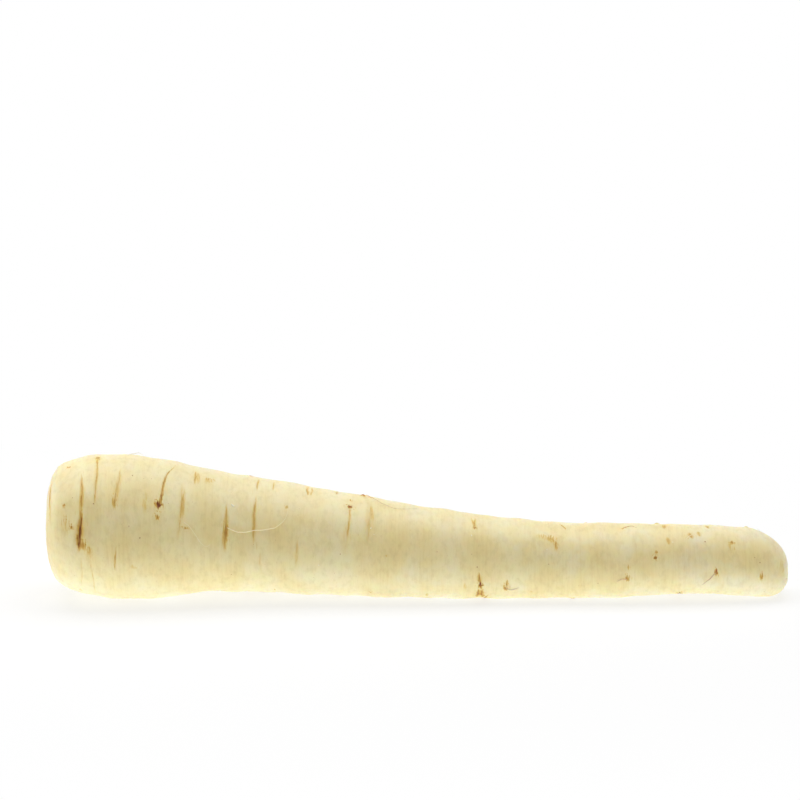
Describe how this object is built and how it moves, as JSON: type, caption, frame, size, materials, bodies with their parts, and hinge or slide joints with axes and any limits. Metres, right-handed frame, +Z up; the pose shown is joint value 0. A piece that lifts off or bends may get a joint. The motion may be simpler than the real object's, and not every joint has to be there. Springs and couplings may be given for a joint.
{
  "type": "parsnip",
  "caption": "Whole washed parsnip root with trimmed crown and blunt cut tip, tapering, lying on its side.",
  "frame": {"origin": "on the surface that the root lies on, under the middle of its box", "axes": "+X along the root from the crown to the cut tip, +Z up, -Y towards a viewer who sees the crown on the left"},
  "size_m": [0.2192, 0.0428, 0.0427],
  "materials": {
    "root_skin": null
  },
  "bodies": {
    "root": {"parsnip": "root_skin"}
  },
  "joints": []
}
